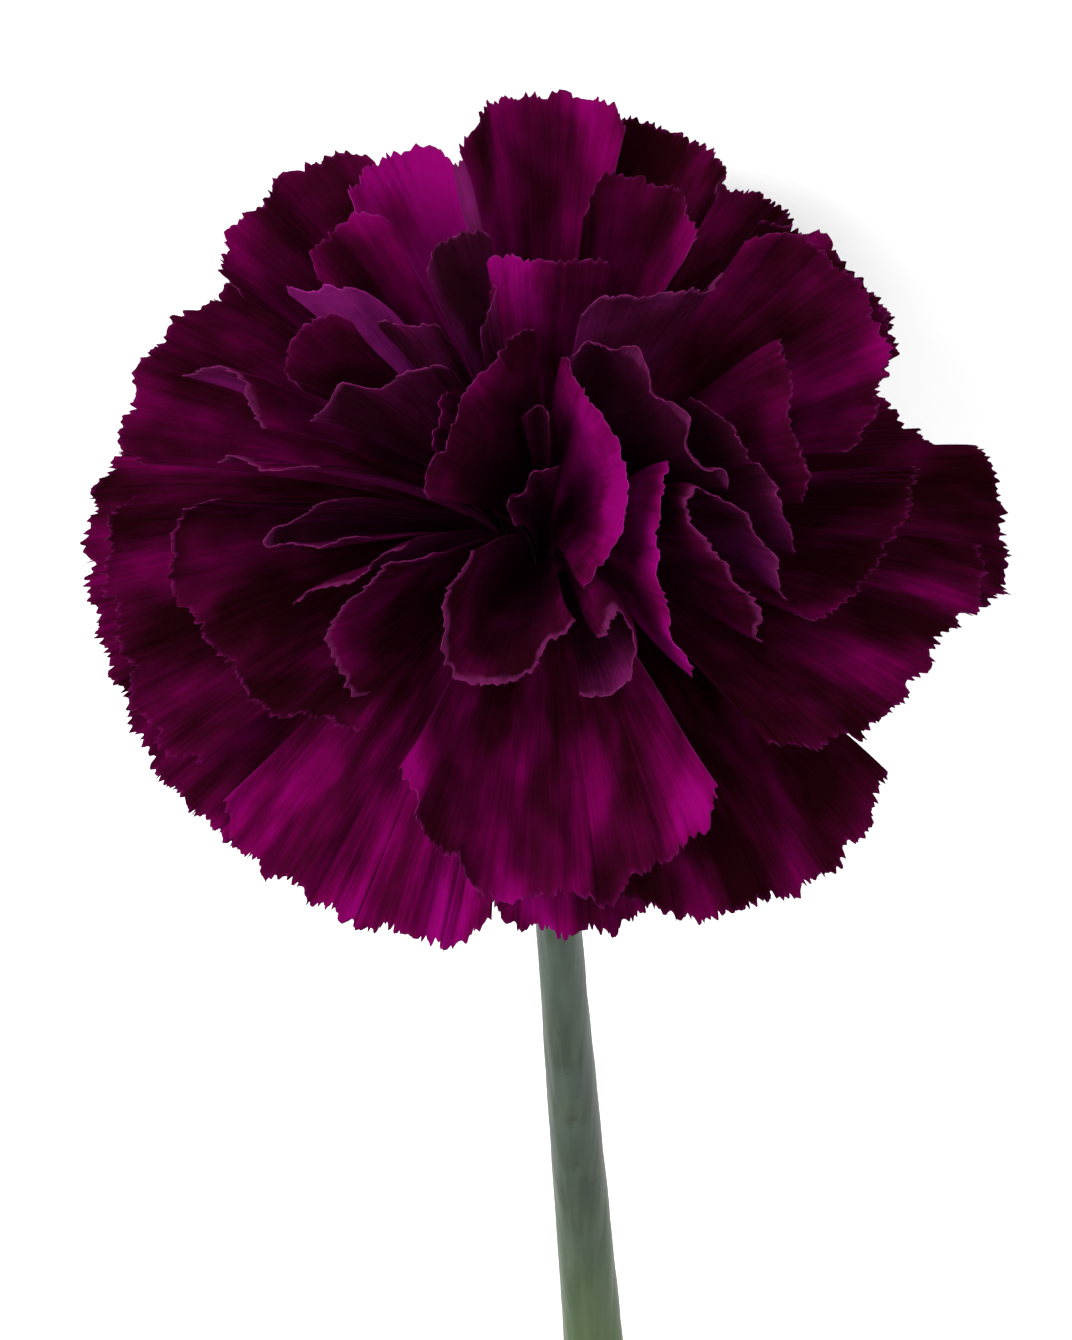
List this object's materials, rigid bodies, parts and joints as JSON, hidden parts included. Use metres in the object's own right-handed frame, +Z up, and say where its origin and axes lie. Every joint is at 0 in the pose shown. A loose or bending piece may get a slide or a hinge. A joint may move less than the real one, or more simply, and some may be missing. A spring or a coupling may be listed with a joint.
{
  "type": "cut carnation",
  "caption": "Cut double carnation lying on its side, with a domed head of deep wine fringed petals, a toothed green calyx, scale bracts, a slender stem and narrow curled leaves.",
  "frame": {"origin": "middle of the flower's bounding box, at table height", "axes": "+Z up from the table, the face of the bloom towards -Y, the cut end of the stem towards +Y"},
  "size_m": [0.0976, 0.234, 0.0721],
  "materials": {
    "guard_petal": "velvety fresh petal, magenta wine with fine radial streaks and a paler outer face",
    "inner_petal": "velvety fresh petal, deep wine with paler mauve lips",
    "calyx": "smooth waxy green tissue with fine ribs",
    "bract": "waxy green scale with a thin dry edge",
    "stem": "grey-green stem with a waxy bloom",
    "leaf": "grey-green waxy leaf"
  },
  "bodies": {
    "root": {"guard_1": "guard_petal", "guard_2": "guard_petal", "guard_3": "guard_petal", "guard_4": "guard_petal", "guard_5": "guard_petal", "guard_6": "guard_petal", "guard_7": "guard_petal", "guard_8": "guard_petal", "guard_9": "guard_petal", "guard_10": "guard_petal", "guard_11": "guard_petal", "guard_12": "guard_petal", "guard_13": "guard_petal", "petal_1": "inner_petal", "petal_2": "inner_petal", "petal_3": "inner_petal", "petal_4": "inner_petal", "petal_5": "inner_petal", "petal_6": "inner_petal", "petal_7": "inner_petal", "petal_8": "inner_petal", "petal_9": "inner_petal", "petal_10": "inner_petal", "petal_11": "inner_petal", "petal_12": "inner_petal", "petal_13": "inner_petal", "petal_14": "inner_petal", "petal_15": "inner_petal", "petal_16": "inner_petal", "petal_17": "inner_petal", "petal_18": "inner_petal", "petal_19": "inner_petal", "petal_20": "inner_petal", "petal_21": "inner_petal", "petal_22": "inner_petal", "petal_23": "inner_petal", "petal_24": "inner_petal", "petal_25": "inner_petal", "petal_26": "inner_petal", "petal_27": "inner_petal", "petal_28": "inner_petal", "petal_29": "inner_petal", "petal_30": "inner_petal", "petal_31": "inner_petal", "petal_32": "inner_petal", "petal_33": "inner_petal", "petal_34": "inner_petal", "petal_35": "inner_petal", "petal_36": "inner_petal", "petal_37": "inner_petal", "petal_38": "inner_petal", "petal_39": "inner_petal", "calyx": "calyx", "bract_1": "bract", "bract_2": "bract", "bract_3": "bract", "bract_4": "bract", "stem": "stem", "leaf_1": "leaf", "leaf_2": "leaf"}
  },
  "joints": []
}
